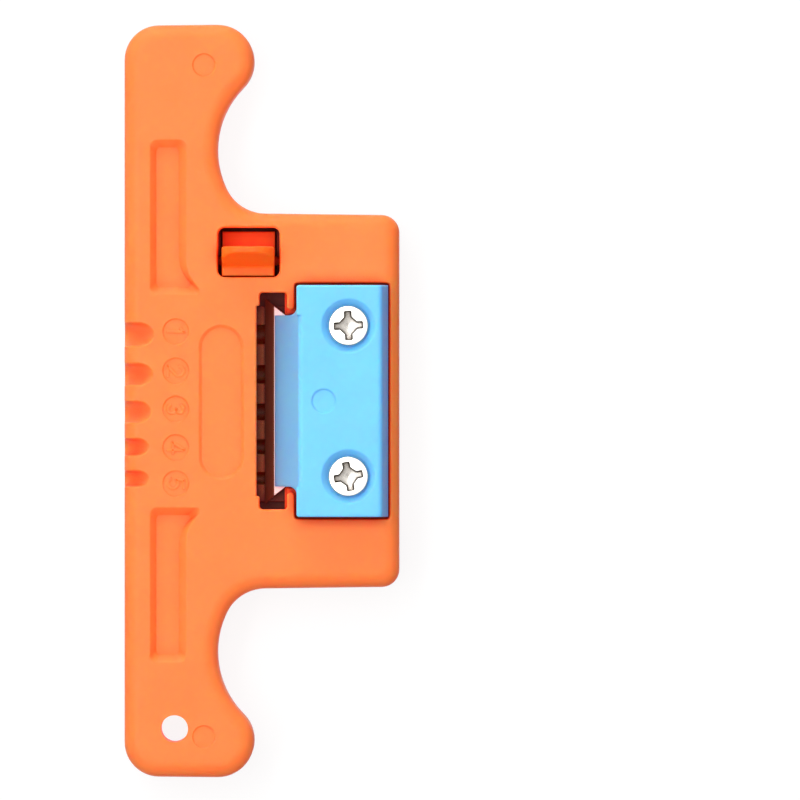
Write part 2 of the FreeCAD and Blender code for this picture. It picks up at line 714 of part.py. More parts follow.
def latch_lever():
    """Thumb latch: arm, hinge barrel and the heel that the spring lifts."""
    barrel = rod(LATCH_BARREL_RADIUS, LEVER_X, LATCH_Y, LATCH_Z)
    heel = prism(rectangle((LATCH_Y, HEEL_Y), HEEL_Z, HEEL_RADIUS), "x", *LEVER_X)
    lever = lever_arm().fuse([barrel, heel])
    return single(lever.cut(rod(LATCH_BORE_RADIUS, (-FAR, FAR), LATCH_Y, LATCH_Z)))


def latch_pin():
    """Plain moulded pin lying in the jaw's saddles."""
    ends = (LATCH_PIN_X[0] + PIN_END_PLAY, LATCH_PIN_X[1] - PIN_END_PLAY)
    return single(rod(LATCH_PIN_RADIUS, ends, LATCH_Y, LATCH_Z))


def latch_spring():
    """Small coil spring between the well's floor and the lever's heel."""
    low = WELL_Z + SPRING_WIRE + SPRING_SLACK
    high = HEEL_Z[0] - SPRING_WIRE - SPRING_SLACK
    coil = Part.makeHelix((high - low) / SPRING_TURNS, high - low, SPRING_RADIUS)
    circle = Part.Wire(Part.Circle(V(SPRING_RADIUS, 0, 0), V(0, 1, 0), SPRING_WIRE).toShape())
    spring = Part.Wire(coil.Edges).makePipeShell([circle], True, True)
    spring.translate(V(*SPRING_AT, low))
    return single(spring)


def blade():
    """Trapezoid blade with one ground bevel on top and two locating holes."""
    slope = tan(radians(BLADE_END_ANGLE))
    bevel = BLADE_THICKNESS / tan(radians(BEVEL_ANGLE))
    section = [(0, 0), (bevel, BLADE_THICKNESS), (BLADE_DEPTH, BLADE_THICKNESS), (BLADE_DEPTH, 0)]
    strip = prism([(*blade_point(*p), 0) for p in section], "y", -EDGE_HALF, EDGE_HALF)
    far = EDGE_HALF - BLADE_DEPTH * slope
    outline = []
    for along, y in ((0, -EDGE_HALF), (BLADE_DEPTH, -far), (BLADE_DEPTH, far), (0, EDGE_HALF)):
        x, z = blade_point(along, -1)
        outline.append(V(x, y, z))
    trim = Part.Face(Part.makePolygon(outline + outline[:1])).extrude(blade_normal() * 3)
    steel = strip.common(trim)
    for y in (PEG_Y, -PEG_Y):
        x, z = blade_point(PEG_ALONG, -1)
        steel = steel.cut(Part.makeCylinder(BLADE_HOLE_RADIUS, 4, V(x, y, z), blade_normal()))
    return single(steel)


def pegs(radius, start, height):
    """Pair of cylinders square to the blade, in line with its locating holes."""
    shapes = []
    for y in (PEG_Y, -PEG_Y):
        x, z = blade_point(PEG_ALONG, start)
        shapes.append(Part.makeCylinder(radius, height, V(x, y, z), blade_normal()))
    return shapes


def blade_bed():
    """Wedge under the blade, with a stop behind it and two pegs through it."""
    stop_x, stop_z = blade_point(BLADE_DEPTH, 0)
    tip_z = EDGE_Z + (BED_X[0] - EDGE_X) * tan(radians(BLADE_TILT))
    side = [
        (BED_X[0], BED_FLOOR_Z, 0),
        (BED_X[0], tip_z, 0),
        (stop_x + BED_SLACK, stop_z + BED_SLACK * tan(radians(BLADE_TILT)), 0),
        (stop_x + BED_SLACK, SEAT_Z - BED_SLACK, 0),
        (BED_X[1], SEAT_Z - BED_SLACK, 0),
        (BED_X[1], BED_FLOOR_Z, 0),
    ]
    wedge = prism(side, "y", -NOSE_HALF, NOSE_HALF)
    return single(wedge.fuse(pegs(PEG_RADIUS, -1, 1 + BLADE_THICKNESS + PEG_HEIGHT)))


def cassette_cover():
    """Upper half of the cassette: plate with a sloped back, and a steep nose that holds the blade down."""
    start = blade_point(0, BLADE_THICKNESS)
    rise = tan(radians(BLADE_TILT))
    nose_z = start[1] + (NOSE_X - start[0]) * rise
    back_x = start[0] + (SEAT_Z - start[1]) / rise
    nose_side = [
        (NOSE_X, nose_z, 0),
        (CREASE_X, COVER_TOP_Z, 0),
        (SCREW_X, COVER_TOP_Z, 0),
        (SCREW_X, SEAT_Z, 0),
        (back_x, SEAT_Z, 0),
    ]
    plate_side = [
        (COVER_X[0], SEAT_Z, 0),
        (COVER_X[0], COVER_TOP_Z, 0),
        (COVER_X[1], COVER_TOP_Z, COVER_BEND_RADIUS),
        (COVER_X[2], SHOULDER_Z, 0),
        (COVER_X[2], SEAT_Z, 0),
    ]
    plan = [
        (COVER_X[0], -COVER_HALF, COVER_CORNER_RADIUS),
        (COVER_X[2], -COVER_HALF, 0),
        (COVER_X[2], COVER_HALF, 0),
        (COVER_X[0], COVER_HALF, COVER_CORNER_RADIUS),
    ]
    above_nose = [
        (NOSE_X, nose_z, 0),
        (CREASE_X, COVER_TOP_Z, COVER_BEND_RADIUS),
        (SCREW_X, COVER_TOP_Z, 0),
        (SCREW_X, COVER_TOP_Z + 1, 0),
        (NOSE_X, COVER_TOP_Z + 1, 0),
    ]
    plate = prism(plate_side, "y", -COVER_HALF, COVER_HALF).common(prism(plan, "z", 0, FAR))
    cover = single(plate.fuse(prism(nose_side, "y", -NOSE_HALF, NOSE_HALF)))
    notch = [
        edge
        for edge in cover.Edges
        if edge.BoundBox.XLength < 0.01 and edge.BoundBox.YLength < 0.01
        and abs(edge.BoundBox.XMin - COVER_X[0]) < 0.01
        and abs(abs(edge.BoundBox.YMin) - NOSE_HALF) < 0.01
    ]
    cover = cover.makeFillet(NOTCH_RADIUS, notch)
    cover = single(cover.cut(prism(above_nose, "y", -NOSE_HALF, NOSE_HALF)))
    end = NOSE_HALF + 1
    for reach in ((end, COVER_HALF), (-COVER_HALF, -end)):
        cover = soften(cover, (COVER_X[0], COVER_X[1]), reach, COVER_TOP_Z - 0.01, COVER_EDGE_RADIUS)
    cover = cover.cut(pegs(PEG_RADIUS + PEG_GAP[0], 0, BLADE_THICKNESS + PEG_HEIGHT + PEG_GAP[1]))
    for y in (SCREW_Y, -SCREW_Y):
        cover = cover.cut(post(SCREW_X, y, COVER_HOLE_RADIUS, 0, FAR))
        floor = V(SCREW_X, y, COVER_TOP_Z - SPOT_DEPTH)
        cover = cover.cut(Part.makeCone(SPOT_RADIUS, DISH_RADIUS, SPOT_DEPTH, floor, V(0, 0, 1)))
    mark = post(*COVER_MARK, GATE_RADIUS, COVER_TOP_Z - MARK_DEPTH, FAR)
    return single(cover.cut(mark))


def cross_recess(seat):
    """Cross-shaped driver recess, its arms narrowing towards the bottom."""
    high = seat + HEAD_HEIGHT + PLAY
    low = high - CROSS_DEPTH
    arms = []
    for turn in (0, 90):
        top = rounded_wire(
            rectangle((-CROSS_SPAN / 2, CROSS_SPAN / 2), (-CROSS_WIDTH / 2, CROSS_WIDTH / 2)),
            on_plane("z", high),
        )
        bottom = rounded_wire(
            rectangle((-CROSS_SPAN / 4, CROSS_SPAN / 4), (-CROSS_WIDTH / 3, CROSS_WIDTH / 3)),
            on_plane("z", low),
        )
        arm = Part.makeLoft([top, bottom], True, True)
        arm.rotate(V(0, 0, 0), V(0, 0, 1), turn)
        arms.append(arm)
    return arms[0].fuse(arms[1])


def cassette_screw(name, y):
    """Pan head screw: shank, low crowned head and cross recess, turned as it was left."""
    seat = COVER_TOP_Z - SPOT_DEPTH
    tip = seat - SCREW_LENGTH
    tip_radius = SHANK_RADIUS - SCREW_TIP_CHAMFER
    shank_end = tip + SCREW_TIP_CHAMFER
    rise = HEAD_HEIGHT - HEAD_EDGE
    dome = (HEAD_RADIUS ** 2 + rise ** 2) / (2 * rise)
    crown = V(0, 0, seat + HEAD_HEIGHT)
    half_turn = atan2(HEAD_RADIUS, dome - rise) / 2
    shoulder = V(dome * sin(half_turn), 0, seat + HEAD_HEIGHT - dome + dome * cos(half_turn))
    rim = V(HEAD_RADIUS, 0, seat + HEAD_EDGE)
    profile = [
        Part.Arc(crown, shoulder, rim).toShape(),
        Part.LineSegment(rim, V(HEAD_RADIUS, 0, seat)).toShape(),
        Part.LineSegment(V(HEAD_RADIUS, 0, seat), V(SHANK_RADIUS, 0, seat)).toShape(),
        Part.LineSegment(V(SHANK_RADIUS, 0, seat), V(SHANK_RADIUS, 0, shank_end)).toShape(),
        Part.LineSegment(V(SHANK_RADIUS, 0, shank_end), V(tip_radius, 0, tip)).toShape(),
        Part.LineSegment(V(tip_radius, 0, tip), V(0, 0, tip)).toShape(),
        Part.LineSegment(V(0, 0, tip), crown).toShape(),
    ]
    screw = Part.Face(Part.Wire(profile)).revolve(V(0, 0, 0), V(0, 0, 1), 360)
    screw = screw.cut(cross_recess(seat))
    screw.rotate(V(0, 0, 0), V(0, 0, 1), SCREW_TURN[name])
    screw.translate(V(SCREW_X, y, 0))
    return single(screw)


def thread_insert(y):
    """Brass insert: a sleeve with a waist that the moulded plastic grips."""
    low = SEAT_Z - INSERT_SINK - INSERT_LENGTH
    waist = INSERT_LENGTH / 5
    sleeve = post(SCREW_X, y, INSERT_RADIUS, low, low + INSERT_LENGTH)
    ring = post(SCREW_X, y, INSERT_RADIUS + 1, low + 2 * waist, low + 3 * waist)
    ring = ring.cut(post(SCREW_X, y, INSERT_RADIUS - INSERT_WAIST_DEPTH, 0, FAR))
    return single(sleeve.cut([ring, post(SCREW_X, y, INSERT_BORE, 0, FAR)]))


def main():
    pieces = {
        "upper_body": upper_body(),
        "lower_jaw": lower_jaw(),
        "hinge_pin": hinge_pin(),
        "latch_lever": latch_lever(),
        "latch_pin": latch_pin(),
        "latch_spring": latch_spring(),
        "cassette_cover": cassette_cover(),
        "blade_bed": blade_bed(),
        "blade": blade(),
    }
    for name, y in (("upper", SCREW_Y), ("lower", -SCREW_Y)):
        pieces["cassette_screw_" + name] = cassette_screw(name, y)
        pieces["thread_insert_" + name] = thread_insert(y)
    os.makedirs("parts", exist_ok=True)
    for name, shape in pieces.items():
        shape.exportStep("parts/%s.step" % name)
        print("%-22s %9.1f mm3 %4d faces" % (name, shape.Volume, len(shape.Faces)))


main()
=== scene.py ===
import math

import bpy
import numpy as np
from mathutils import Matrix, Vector


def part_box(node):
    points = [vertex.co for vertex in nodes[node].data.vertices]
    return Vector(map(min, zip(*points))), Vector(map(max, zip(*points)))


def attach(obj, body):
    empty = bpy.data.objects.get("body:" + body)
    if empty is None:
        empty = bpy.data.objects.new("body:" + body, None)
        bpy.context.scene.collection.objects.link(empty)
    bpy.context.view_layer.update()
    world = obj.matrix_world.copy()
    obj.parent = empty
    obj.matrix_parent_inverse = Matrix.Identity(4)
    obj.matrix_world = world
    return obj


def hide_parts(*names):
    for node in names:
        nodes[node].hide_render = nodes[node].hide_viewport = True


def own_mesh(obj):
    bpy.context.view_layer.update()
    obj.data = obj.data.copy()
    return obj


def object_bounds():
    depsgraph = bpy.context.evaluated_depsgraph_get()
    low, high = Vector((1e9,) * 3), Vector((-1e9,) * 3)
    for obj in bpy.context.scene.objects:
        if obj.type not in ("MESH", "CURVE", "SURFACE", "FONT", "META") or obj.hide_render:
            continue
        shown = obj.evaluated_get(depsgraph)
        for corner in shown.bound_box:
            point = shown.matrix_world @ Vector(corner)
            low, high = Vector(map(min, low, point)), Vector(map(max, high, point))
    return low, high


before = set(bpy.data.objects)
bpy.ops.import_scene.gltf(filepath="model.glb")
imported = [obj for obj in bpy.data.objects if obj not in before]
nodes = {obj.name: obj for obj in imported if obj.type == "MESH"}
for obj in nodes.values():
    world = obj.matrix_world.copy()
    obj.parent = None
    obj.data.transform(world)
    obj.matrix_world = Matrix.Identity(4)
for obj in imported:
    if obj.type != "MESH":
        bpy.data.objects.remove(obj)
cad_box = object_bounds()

# The scene is in metres, and small sizes are written in millimetres
MM = 0.001

# The photograph's view: straight down, with this much of the top face's plane in the square frame
VIEW_WIDTH = 138.1 * MM
VIEW_CENTRE = (23.85 * MM, 0.17 * MM)
CAMERA_HEIGHT = 2.5
CAMERA_FAR = 20.0
SENSOR = 36.0

# Raised figures in the size discs, drawn on a plane of this width and height
FIGURE_PLANE = (1.0, 1.6)
DISC_X = -14.85 * MM
DISC_Y = [y * MM for y in (11.94, 5.19, -1.42, -8.05, -14.28)]
DISC_SINK = 0.2 * MM
FIGURE_HEIGHT = 2.75 * MM
FIGURE_STROKE = 0.50 * MM
FIGURE_RISE = 0.12 * MM
FIGURE_ROOT = 0.05 * MM

# Section of a figure's ridge, in shares of half the stroke's width, and angles on its round ends in degrees
RIDGE_CROWN = 0.60
RIDGE_FOOT = 1.2
RIDGE_ROOT = 1.25
RIDGE_END = 0.05
RIDGE_CAP_ANGLES = (0, 20, 45, 70)

# Cassette screws, M3.5 pan heads with a cross recess. Angles are in degrees
HEAD_RADIUS = 3.4 * MM
HEAD_HEIGHT = 1.3 * MM
HEAD_EDGE = 1.1 * MM
HEAD_RIM = 0.07 * HEAD_RADIUS
RIM_DROP = 0.25 * MM
RIM_BEND = (20, 90)
CROWN_POWER = 3.6
CROWN_STEP = 0.1 * MM
UNDER_CHAMFER = (0.1 * MM, 0.08 * MM)
SCREW_LENGTH = 10.0 * MM
SHANK_RADIUS = 1.75 * MM
SHANK_FILLET = 0.05 * MM
SHANK_START = 0.1 * MM
PLAIN_SHANK = 2.0 * MM
THREAD_RUNOUT = 1.0 * MM
THREAD_PITCH = 0.6 * MM
THREAD_DEPTH = 0.28 * MM
THREAD_SLOPE = 1.4
THREAD_FLAT = 0.2
AXIS_GAP = 0.02 * MM

# The screw's tip: where the shank ends and the tip's points, as heights above the screw's end, and how far
# those points step in from the shank before the axis
TIP_START = 0.6 * MM
TIP_HEIGHTS = np.array([0.4, 0.15, 0.0]) * MM
TIP_STEPS = (0.35 * MM, 0.7 * MM)

# Cross recess
ARM_REACH = 2.45 * MM
ARM_HALF_WIDTH = 0.56 * MM
ARM_MARGIN = 0.15 * MM
HUB_FLAT = 1.45 * MM
RECESS_DEPTH = 1.15 * MM
RECESS_WALL = 0.22 * MM
RECESS_RISE = 0.62
RECESS_POWER = 1.2
SCREW_TURN = {"upper": 3.0, "lower": 11.0}
SCREW_SHARP_ANGLE = 30.0

# Rows and columns of points on a screw
SCREW_SIDES = 160
RECESS_ROWS = 46
CROWN_ROWS = 8
RIM_ROWS = 6
SHANK_ROWS = 150

# Latch spring, with its end turns wound close
SPRING_WIRE_RADIUS = 0.22 * MM
SPRING_TURNS = 4.5
CLOSED_TURN = 0.8
CLOSED_RISE = 2.1 * SPRING_WIRE_RADIUS
STEPS_PER_TURN = 36
WIRE_SIDES = 12

# Moulded plastic: patches of uneven flow and the mould's pebble grain. The real pebbles are about 0.05 mm
# across, and are drawn coarser, so that the satin shows
FLOW_SIZE = 9.0 * MM
FLOW_SHADES = (0.93, 1.05)
GRAIN_SIZE = 0.30 * MM
GRAIN_DEPTH = 0.03 * MM
GRAIN_STRENGTH = 0.5
SHEEN_SWING = 0.06
ABS_IOR = 1.53

# Openness to the sky, from 0 to 1, at which a moulding has its painted hollow shade and its open colour
HOLLOW_AT = 0.45
OPEN_AT = 0.94
OPENNESS_SAMPLES = 8
EDGE_SAMPLES = 6

# How far each colour of light spreads inside the plastic, as shares of its depth
RED_SPREAD = (1.0, 0.05, 0.02)
BLUE_SPREAD = (0.15, 0.5, 1.0)

# Colours, each the moulding's own colour in the open, then painted shade in a hollow and deep in a gap
BODY_ORANGE = ("#FC8F4B", "#EC3C02", "#C43000")
FIGURE_ORANGE = ("#FC8F4B", "#F06A1C", "#F06A1C")
JAW_ORANGE = ("#FC8F4B", "#681A04", "#541000")
# The latch's open colour is the body's orange painted deeper, as painted shade for its place in the window
LATCH_ORANGE = ("#FA761C", "#F05A14", "#C83C08")
CASSETTE_BLUE = ("#82D5F8", "#7ACCF8", "#2C6CB0")
# Painted glow: the mouldings give off a little light in these colours, though they are no lamps, to keep
# their shaded sides vivid
RED_GLOW = "#FF2800"
BLUE_GLOW = "#0022A0"

# Metals: how much longer than wide a tool line is, the swing of the polish, and the upward part of the
# normal below which a face is steep and painted darker, as painted shade, and above which it is flat
LINE_STRETCH = 80
POLISH_SWING = 0.3
LINE_STRENGTH = 0.4
STEEP_BELOW = 0.72
FLAT_FROM = 0.85

# Width of the blade's honed band seen from above, which is painted dark in the steep colour as a painted
# reflection of the shaded slot wall, and of the soft border on each side of its end. A metal without such a
# band has its end far outside the part
HONED_BAND = 1.58 * MM
HONED_BORDER = 0.04 * MM
NOT_HONED = -1.0

# Nickel plate: size and depth of the bath's ripple, and the colours from a hollow to the open, which paint
# the recess dark as painted shade
RIPPLE_SIZE = 0.7 * MM
RIPPLE_DEPTH = 0.02 * MM
RIPPLE_STRENGTH = 0.2
NICKEL_POLISH = (0.28, 0.40)
NICKEL_REACH = 2.0 * MM
NICKEL_STOPS = [(0.52, "#0E0B09"), (0.74, "#6E6258"), (0.95, "#F4F1EA")]

# Paper floor: its grey to the light that it passes on and to the camera, and its own light
PAPER_GREY = "#5E5E5E"
PAPER_SEEN = "#666666"
PAPER_LIGHT = 0.89
FLOOR_REACH = 3.0
FLOOR_GAP = 0.05 * MM

# Light of the surroundings at the horizon and overhead, and the upward part of the direction from which
# it is full
HORIZON_LIGHT = 0.02
OVERHEAD_LIGHT = 0.35
OVERHEAD_FROM = 0.8

# Lamps: name, place, width, length and power in watts
LAMPS = [
    ("top_softbox", (-0.10, 0.10, 0.68), 0.64, 0.64, 3.0),
    ("front_softbox", (-0.25, 1.05, 0.35), 0.8, 0.5, 7.5),
    ("side_strip", (-0.2, 0.05, 0.66), 0.6, 0.08, 1.3),
]


def linear(hex_colour):
    """Linear RGBA of an sRGB hex colour."""
    channels = [int(hex_colour[i:i + 2], 16) / 255 for i in (1, 3, 5)]
    return [c / 12.92 if c <= 0.04045 else ((c + 0.055) / 1.055) ** 2.4 for c in channels] + [1.0]


def add(tree, kind, inputs=None, **settings):
    """Adds a shader node, with its settings and with its inputs set or linked, and returns it."""
    node = tree.nodes.new("ShaderNode" + kind)
    for name, value in settings.items():
        setattr(node, name, value)
    for name, value in (inputs or {}).items():
        if isinstance(value, bpy.types.NodeSocket):
            tree.links.new(value, node.inputs[name])
        else:
            node.inputs[name].default_value = value
    return node


def ramp(tree, value, stops):
    """Colour that runs through stops, each a position and a hex colour, as a value grows."""
    node = add(tree, "ValToRGB", {"Fac": value})
    elements = node.color_ramp.elements
    for element, (position, colour) in zip(elements, (stops[0], stops[-1])):
        element.position = position
        element.color = linear(colour)
    for position, colour in stops[1:-1]:
        elements.new(position).color = linear(colour)
    return node.outputs["Color"]


def new_material(name):
    """Material with an empty node tree, and that tree."""
    material = bpy.data.materials.new(name)
    material.use_nodes = True
    material.node_tree.nodes.clear()
    return material, material.node_tree


def finish_material(tree, shader):
    """Joins a shader to the material's output."""
    add(tree, "OutputMaterial", {"Surface": shader.outputs[0]})


def moulded_abs(
    name, colours, roughness, gloss, depth, spread, glow, glow_strength, glow_openness, reach, edge_radius
):
    """ABS moulded in a spark-eroded steel mould: satin, with a fine pebble grain that scatters the
    highlight, and a faint cloudiness where the melt flowed unevenly. Light goes a little way in, further
    for the dye's own colour. The colour is painted deeper and darker where the surface is less open, as
    painted shade: darker in a hollow and darkest in a gap. A painted glow in the dye's colour, which no
    lamp gives, keeps the shaded sides vivid. It is dark in hollows, and starts and is full at the two
    values of openness given for the glow. Walls within reach count against openness."""
    colour, painted_hollow_shade, painted_gap_shade = colours
    material, tree = new_material(name)
    place = add(tree, "TexCoord").outputs["Object"]
    flow = add(tree, "TexNoise", {"Vector": place, "Scale": 1 / FLOW_SIZE, "Detail": 3.0, "Roughness": 0.6})
    cloud = add(tree, "MapRange", {
        "Value": flow.outputs["Fac"],
        "To Min": FLOW_SHADES[0],
        "To Max": FLOW_SHADES[1],
    })
    # Painted shade: openness to the sky picks the colour, from the open colour to the painted hollow and
    # gap shade, and fades the painted glow in hollows
    painted_shade_openness = add(tree, "AmbientOcclusion", {"Distance": reach}, samples=OPENNESS_SAMPLES).outputs["AO"]
    painted_shade_tint = ramp(tree, painted_shade_openness, [(0.0, painted_gap_shade), (HOLLOW_AT, painted_hollow_shade), (OPEN_AT, colour)])
    tone_with_painted_shade = add(tree, "HueSaturation", {"Color": painted_shade_tint, "Value": cloud.outputs["Result"]})
    painted_glow = ramp(tree, painted_shade_openness, [(glow_openness[0], "#000000"), (glow_openness[1], glow)])
    grain = add(tree, "TexNoise", {"Vector": place, "Scale": 1 / GRAIN_SIZE, "Detail": 2.0})
    sheen = add(tree, "MapRange", {
        "Value": grain.outputs["Fac"],
        "To Min": roughness - SHEEN_SWING,
        "To Max": roughness + SHEEN_SWING,
    })
    edge = add(tree, "Bevel", {"Radius": edge_radius}, samples=EDGE_SAMPLES)
    bump = add(tree, "Bump", {
        "Height": grain.outputs["Fac"],
        "Strength": GRAIN_STRENGTH,
        "Distance": GRAIN_DEPTH,
        "Normal": edge.outputs["Normal"],
    })
    shader = add(tree, "BsdfPrincipled", {
        "Base Color": tone_with_painted_shade.outputs["Color"],
        "Roughness": sheen.outputs["Result"],
        "IOR": ABS_IOR,
        "Specular IOR Level": gloss,
        "Subsurface Weight": 1.0,
        "Subsurface Radius": spread,
        "Subsurface Scale": depth,
        "Emission Color": painted_glow,
        "Emission Strength": glow_strength,
        "Normal": bump.outputs["Normal"],
    })
    finish_material(tree, shader)
    return material


def drawn_metal(name, colour, painted_steep_shade, roughness, line_width, along, depth, honed_to=NOT_HONED):
    """Metal with fine straight tool lines, long in one direction: ground, drawn or turned. The lines
    spread the reflections across their direction. Steep faces are painted darker, as painted shade and on
    the blade as a painted dark reflection, and so is the honed band of a cutting edge, which ends at a
    given X."""
    material, tree = new_material(name)
    place = add(tree, "TexCoord").outputs["Object"]
    stretch = [1 / line_width if axis != along else 1 / (LINE_STRETCH * line_width) for axis in "xyz"]
    lines = add(tree, "Mapping", {"Vector": place, "Scale": stretch})
    scratch = add(tree, "TexNoise", {"Vector": lines.outputs["Vector"], "Scale": 1.0, "Detail": 3.0})
    polish = add(tree, "MapRange", {
        "Value": scratch.outputs["Fac"],
        "To Min": roughness * (1 - POLISH_SWING),
        "To Max": roughness * (1 + POLISH_SWING),
    })
    bump = add(tree, "Bump", {
        "Height": scratch.outputs["Fac"],
        "Strength": LINE_STRENGTH,
        "Distance": depth,
    })
    # Painted shade: steep faces and the honed band take the painted steep shade instead of the metal's
    # colour
    facing = add(tree, "SeparateXYZ", {"Vector": add(tree, "NewGeometry").outputs["True Normal"]})
    past_band = add(tree, "MapRange", {
        "Value": add(tree, "SeparateXYZ", {"Vector": place}).outputs["X"],
        "From Min": honed_to - HONED_BORDER,
        "From Max": honed_to + HONED_BORDER,
    })
    flat = add(tree, "Math", {0: facing.outputs["Z"], 1: past_band.outputs["Result"]}, operation="MINIMUM")
    painted_shade_tint = ramp(tree, flat.outputs["Value"], [(STEEP_BELOW, painted_steep_shade), (FLAT_FROM, colour)])
    shader = add(tree, "BsdfPrincipled", {
        "Base Color": painted_shade_tint,
        "Metallic": 1.0,
        "Roughness": polish.outputs["Result"],
        "Normal": bump.outputs["Normal"],
    })
    finish_material(tree, shader)
    return material


def bright_nickel(name):
    """Nickel-plated steel: bright and faintly warm, with a slight unevenness left by the plating bath, so
    that highlights waver. The colour is painted dark in hollows, as painted shade, which draws the recess
    dark."""
    material, tree = new_material(name)
    place = add(tree, "TexCoord").outputs["Object"]
    ripple = add(tree, "TexNoise", {"Vector": place, "Scale": 1 / RIPPLE_SIZE, "Detail": 2.0})
    polish = add(tree, "MapRange", {
        "Value": ripple.outputs["Fac"],
        "To Min": NICKEL_POLISH[0],
        "To Max": NICKEL_POLISH[1],
    })
    bump = add(tree, "Bump", {
        "Height": ripple.outputs["Fac"],
        "Strength": RIPPLE_STRENGTH,
        "Distance": RIPPLE_DEPTH,
    })
    # Painted shade: the recess is painted near black, shading to bright in the open
    painted_shade_openness = add(tree, "AmbientOcclusion", {"Distance": NICKEL_REACH}, samples=OPENNESS_SAMPLES)
    shader = add(tree, "BsdfPrincipled", {
        "Base Color": ramp(tree, painted_shade_openness.outputs["AO"], NICKEL_STOPS),
        "Metallic": 1.0,
        "Roughness": polish.outputs["Result"],
        "Normal": bump.outputs["Normal"],
    })
    finish_material(tree, shader)
    return material


def tube_mesh(name, grids, sharp_angle=35.0):
    """Mesh of closed surfaces, each a grid of points (rows, columns, 3) whose columns close on
    themselves and whose first and last rows are capped."""
    points, faces, start = [], [], 0
    for grid in grids:
        rows, columns = grid.shape[:2]
        ring = np.arange(columns)
        after = (ring + 1) % columns
        row = np.arange(rows - 1)[:, None] * columns
        quads = np.stack([row + ring, row + after, row + columns + after, row + columns + ring], axis=-1)
        quads = quads.reshape(-1, 4)
        corners = grid.reshape(-1, 3)
        a, b, c, d = (corners[quads[:, i]] for i in range(4))
        volume = np.einsum("ij,ij->", a, np.cross(b, c)) + np.einsum("ij,ij->", a, np.cross(c, d))
        caps = [ring[::-1], ring + (rows - 1) * columns]
        if volume < 0:
            quads = quads[:, ::-1]
            caps = [cap[::-1] for cap in caps]
        faces += (quads + start).tolist() + [(cap + start).tolist() for cap in caps]
        points.append(corners)
        start += rows * columns
    mesh = bpy.data.meshes.new(name)
    mesh.from_pydata(np.concatenate(points).tolist(), [], faces)
    mesh.polygons.foreach_set("use_smooth", np.ones(len(faces), bool))
    mesh.set_sharp_from_angle(angle=math.radians(sharp_angle))
    mesh.update()
    piece = bpy.data.objects.new(name, mesh)
    bpy.context.scene.collection.objects.link(piece)
    return piece


def line(start, end, count=12):
    """Points on a straight stroke."""
    share = np.linspace(0, 1, count)[:, None]
    return np.array(start) * (1 - share) + np.array(end) * share


def arc(centre, radius, first, last, count=28):
    """Points on a round stroke, between two angles in degrees."""
    turn = np.radians(np.linspace(first, last, count))
    return np.array(centre) + radius * np.stack([np.cos(turn), np.sin(turn)], axis=-1)


def figure_strokes():
    """Strokes of the figures 1 to 5 on the figures' plane: straight runs and arcs."""
    return [
        [line((0.5, 0), (0.5, 1.6)), line((0.5, 1.6), (0.2, 1.3))],
        [
            np.concatenate([arc((0.5, 1.12), 0.48, 170, -38), line((0.8, 0.74), (0.03, 0))]),
            line((0.03, 0), (1, 0)),
        ],
        [arc((0.48, 1.2), 0.4, 155, -90), arc((0.48, 0.42), 0.42, 90, -155)],
        [line((0.74, 0), (0.74, 1.6)), line((0.74, 1.6), (0, 0.5)), line((0, 0.5), (1.05, 0.5))],
        [line((0.92, 1.6), (0.2, 1.6)), line((0.2, 1.6), (0.12, 0.86)), arc((0.46, 0.52), 0.5, 132, -150)],
    ]


def raised_stroke(path, centre, level):
    """A low ridge with sloped sides carried along a path: across the path the section is a trapezoid
    from the root to the rise, and its width dies out as a half circle at the two ends. The figures read
    along X, so the plane's height runs along X and its width against Y."""
    plane_width, plane_height = FIGURE_PLANE
    scale = FIGURE_HEIGHT / plane_height
    x = centre[0] + (path[:, 1] - plane_height / 2) * scale
    y = centre[1] - (path[:, 0] - plane_width / 2) * scale
    flat = np.stack([x, y], axis=-1)
    ahead = np.gradient(flat, axis=0)
    ahead /= np.linalg.norm(ahead, axis=1, keepdims=True)
    half = FIGURE_STROKE / 2
    caps = np.radians(RIDGE_CAP_ANGLES)
    back = flat[0] - ahead[0] * half * np.cos(caps)[:, None]
    front = flat[-1] + ahead[-1] * half * np.cos(caps[::-1])[:, None]
    flat = np.concatenate([back, flat, front])
    ahead = np.concatenate([np.repeat(ahead[:1], len(caps), 0), ahead, np.repeat(ahead[-1:], len(caps), 0)])
    full = np.ones(len(path))
    width = half * np.concatenate([np.sin(caps) + RIDGE_END, full, np.sin(caps[::-1]) + RIDGE_END])
    side = np.stack([-ahead[:, 1], ahead[:, 0]], axis=-1)
    across = np.array([-RIDGE_ROOT, -RIDGE_FOOT, -RIDGE_CROWN, RIDGE_CROWN, RIDGE_FOOT, RIDGE_ROOT])
    up = np.array([-FIGURE_ROOT, 0, FIGURE_RISE, FIGURE_RISE, 0, -FIGURE_ROOT])
    offset = width[:, None] * across
    grid = np.empty((len(flat), len(across), 3))
    grid[..., :2] = flat[:, None, :] + side[:, None, :] * offset[..., None]
    grid[..., 2] = level + up
    return grid


